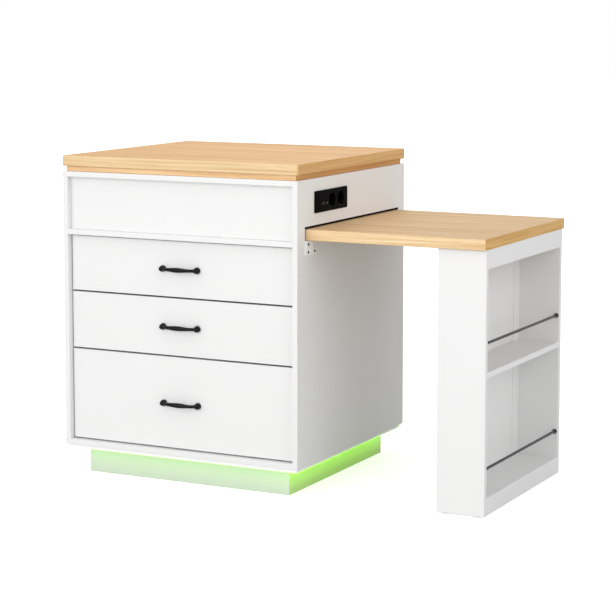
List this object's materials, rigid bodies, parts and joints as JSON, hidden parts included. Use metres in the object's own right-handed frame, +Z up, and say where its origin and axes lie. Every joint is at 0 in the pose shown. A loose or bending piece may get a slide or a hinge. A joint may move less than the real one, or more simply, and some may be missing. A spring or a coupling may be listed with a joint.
{
  "type": "kitchen island unit",
  "caption": "White kitchen island with wooden top, drawers over a lit plinth, side sockets, and a wooden dining board that slides out on an open storage rack.",
  "frame": {"origin": "centre of the whole footprint, on the floor, with the dining board pulled out", "axes": "+X from the cabinet towards the rack, +Y from the drawer fronts towards the back, +Z up"},
  "size_m": [1.274, 0.711, 0.92],
  "materials": {
    "white_board": "satin white lacquer on board",
    "light_wood": "satin light oak decor, fine straight grain along X",
    "drawer_board": "matt white foil on board",
    "black_handle": "matt black powder coat",
    "slide_steel": "zinc plated",
    "screws": "dark zinc",
    "rod_chrome": "polished",
    "socket_black": "semi gloss black",
    "black_plastic": "matt black",
    "light_strip": "lit diffuser",
    "white_metal": "white powder coat",
    "glide_plastic": "matt"
  },
  "bodies": {
    "cabinet": {"worktop_slab": "light_wood", "worktop_inset_slab": "light_wood", "carcass_top_panel": "white_board", "left_side_panel": "white_board", "right_front_strip": "white_board", "right_side_panel": "white_board", "slot_seal": "black_plastic", "partition_shelf": "white_board", "bottom_panel": "white_board", "back_panel": "white_board", "false_front_panel": "white_board", "plinth_boards": "white_board", "led_strip": "light_strip", "led_driver": "black_plastic", "socket_faceplate": "socket_black", "socket_back_box": "black_plastic", "socket_inserts": "socket_black", "usb_module": "socket_black", "slot_brackets": "white_metal", "slot_bracket_screws": "screws", "guide_battens": "drawer_board", "cabinet_slide_members": "slide_steel", "cable_grommet": "black_plastic"},
    "extension": {"extension_board": "light_wood", "extension_stop_batten": "drawer_board", "rack_front_panel": "white_board", "rack_rear_panel": "white_board", "rack_inner_panel": "white_board", "rack_inner_stiles": "white_board", "rack_top_rail": "white_board", "rack_kick_rail": "white_board", "rack_middle_shelf": "white_board", "rack_bottom_shelf": "white_board", "rack_guard_rods": "rod_chrome", "rack_rod_flanges": "rod_chrome", "rack_glides": "glide_plastic"},
    "drawer_1": {"drawer_1_front": "white_board", "drawer_1_sides": "drawer_board", "drawer_1_back": "drawer_board", "drawer_1_bottom": "drawer_board", "drawer_1_handle": "black_handle", "drawer_1_handle_screws": "screws", "drawer_1_slide_members": "slide_steel"},
    "drawer_1_slides": {"drawer_1_mid_members": "slide_steel"},
    "drawer_2": {"drawer_2_front": "white_board", "drawer_2_sides": "drawer_board", "drawer_2_back": "drawer_board", "drawer_2_bottom": "drawer_board", "drawer_2_handle": "black_handle", "drawer_2_handle_screws": "screws", "drawer_2_slide_members": "slide_steel"},
    "drawer_2_slides": {"drawer_2_mid_members": "slide_steel"},
    "drawer_3": {"drawer_3_front": "white_board", "drawer_3_sides": "drawer_board", "drawer_3_back": "drawer_board", "drawer_3_bottom": "drawer_board", "drawer_3_handle": "black_handle", "drawer_3_handle_screws": "screws", "drawer_3_slide_members": "slide_steel"},
    "drawer_3_slides": {"drawer_3_mid_members": "slide_steel"}
  },
  "joints": [
    {"name": "extension_slide", "type": "slide", "parent": "cabinet", "child": "extension", "axis": [1, 0, 0], "range_m": [-0.376, 0]},
    {"name": "drawer_1_slide", "type": "slide", "parent": "cabinet", "child": "drawer_1", "axis": [0, -1, 0], "range_m": [0, 0.45]},
    {"name": "drawer_1_slides_slide", "type": "slide", "parent": "cabinet", "child": "drawer_1_slides", "axis": [0, -1, 0], "range_m": [0, 0.225]},
    {"name": "drawer_2_slide", "type": "slide", "parent": "cabinet", "child": "drawer_2", "axis": [0, -1, 0], "range_m": [0, 0.45]},
    {"name": "drawer_2_slides_slide", "type": "slide", "parent": "cabinet", "child": "drawer_2_slides", "axis": [0, -1, 0], "range_m": [0, 0.225]},
    {"name": "drawer_3_slide", "type": "slide", "parent": "cabinet", "child": "drawer_3", "axis": [0, -1, 0], "range_m": [0, 0.45]},
    {"name": "drawer_3_slides_slide", "type": "slide", "parent": "cabinet", "child": "drawer_3_slides", "axis": [0, -1, 0], "range_m": [0, 0.225]}
  ],
  "couplings": [
    {"joint": "drawer_1_slides_slide", "follows": "drawer_1_slide", "ratio": 0.5},
    {"joint": "drawer_2_slides_slide", "follows": "drawer_2_slide", "ratio": 0.5},
    {"joint": "drawer_3_slides_slide", "follows": "drawer_3_slide", "ratio": 0.5}
  ]
}
